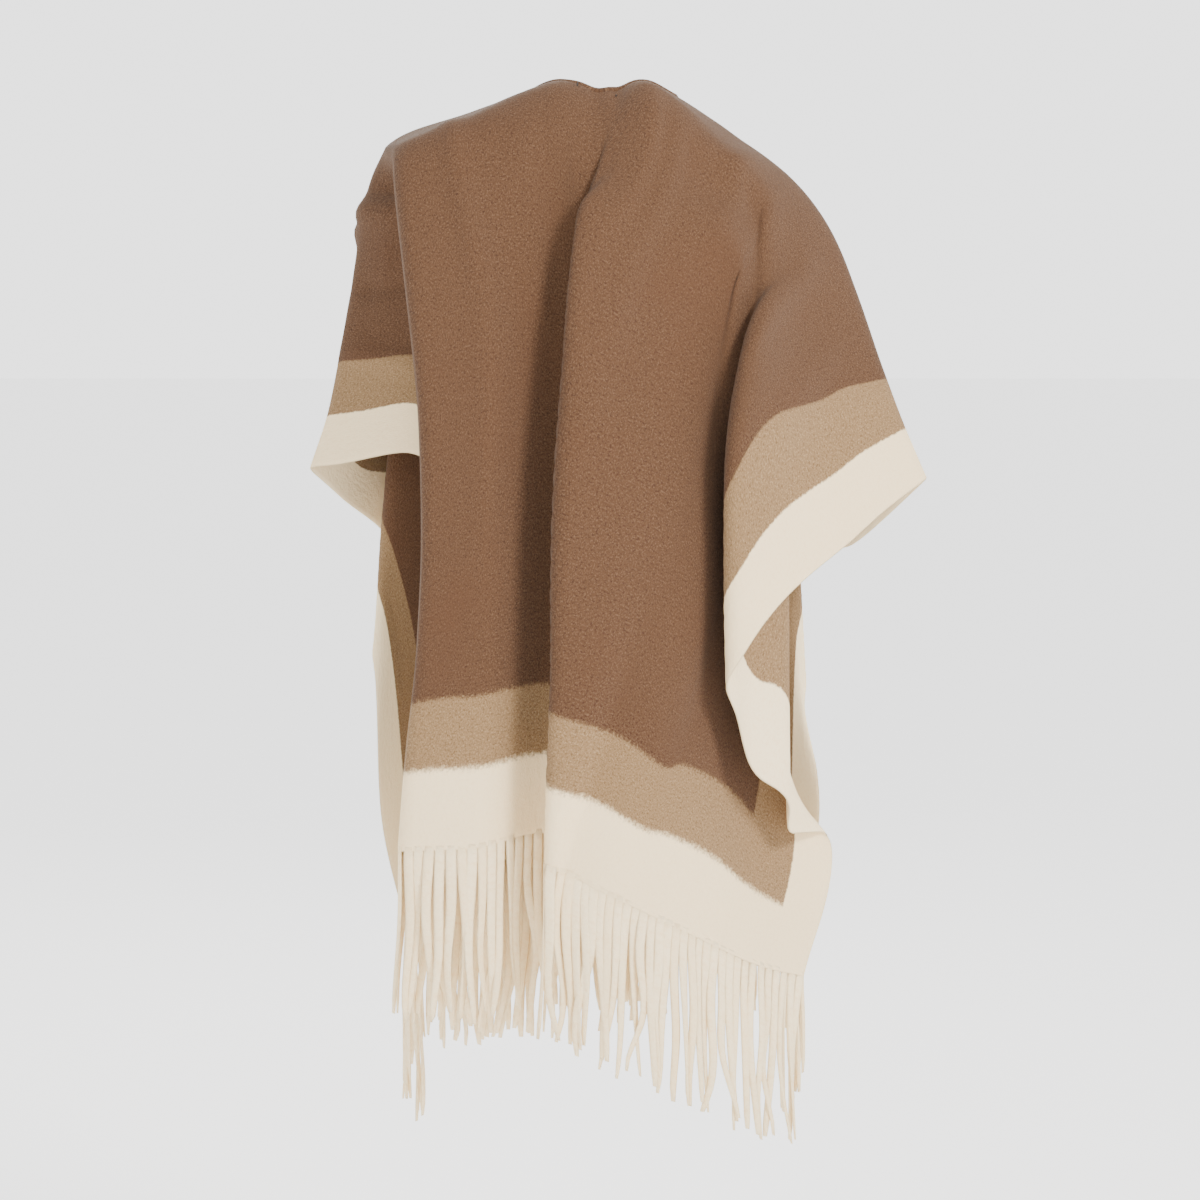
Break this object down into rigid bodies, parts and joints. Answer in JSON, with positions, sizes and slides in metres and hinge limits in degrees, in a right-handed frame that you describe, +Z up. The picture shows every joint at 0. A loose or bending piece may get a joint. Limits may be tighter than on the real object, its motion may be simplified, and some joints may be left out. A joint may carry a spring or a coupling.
{
  "type": "ruana",
  "caption": "Open-fronted blanket wrap folded over the shoulders and worn, with striped borders all round and a fringe on the front and back hems.",
  "frame": {"origin": "on the shoulder line at the middle of the neck opening, where the wearer holds it up", "axes": "+Z up; the wearer faces -Y, so the back panel is on the +Y side and the wearer's left arm on the +X side"},
  "size_m": [0.6404, 0.3928, 1.075],
  "materials": {
    "cloth": "brushed wool, heathered camel brown with tan and cream borders",
    "fringe": "cream wool yarn, brushed"
  },
  "bodies": {
    "root": {"back_panel": "cloth", "front_right": "cloth", "front_left": "cloth", "fringe_back": "fringe", "fringe_front_right": "fringe", "fringe_front_left": "fringe"}
  },
  "joints": []
}
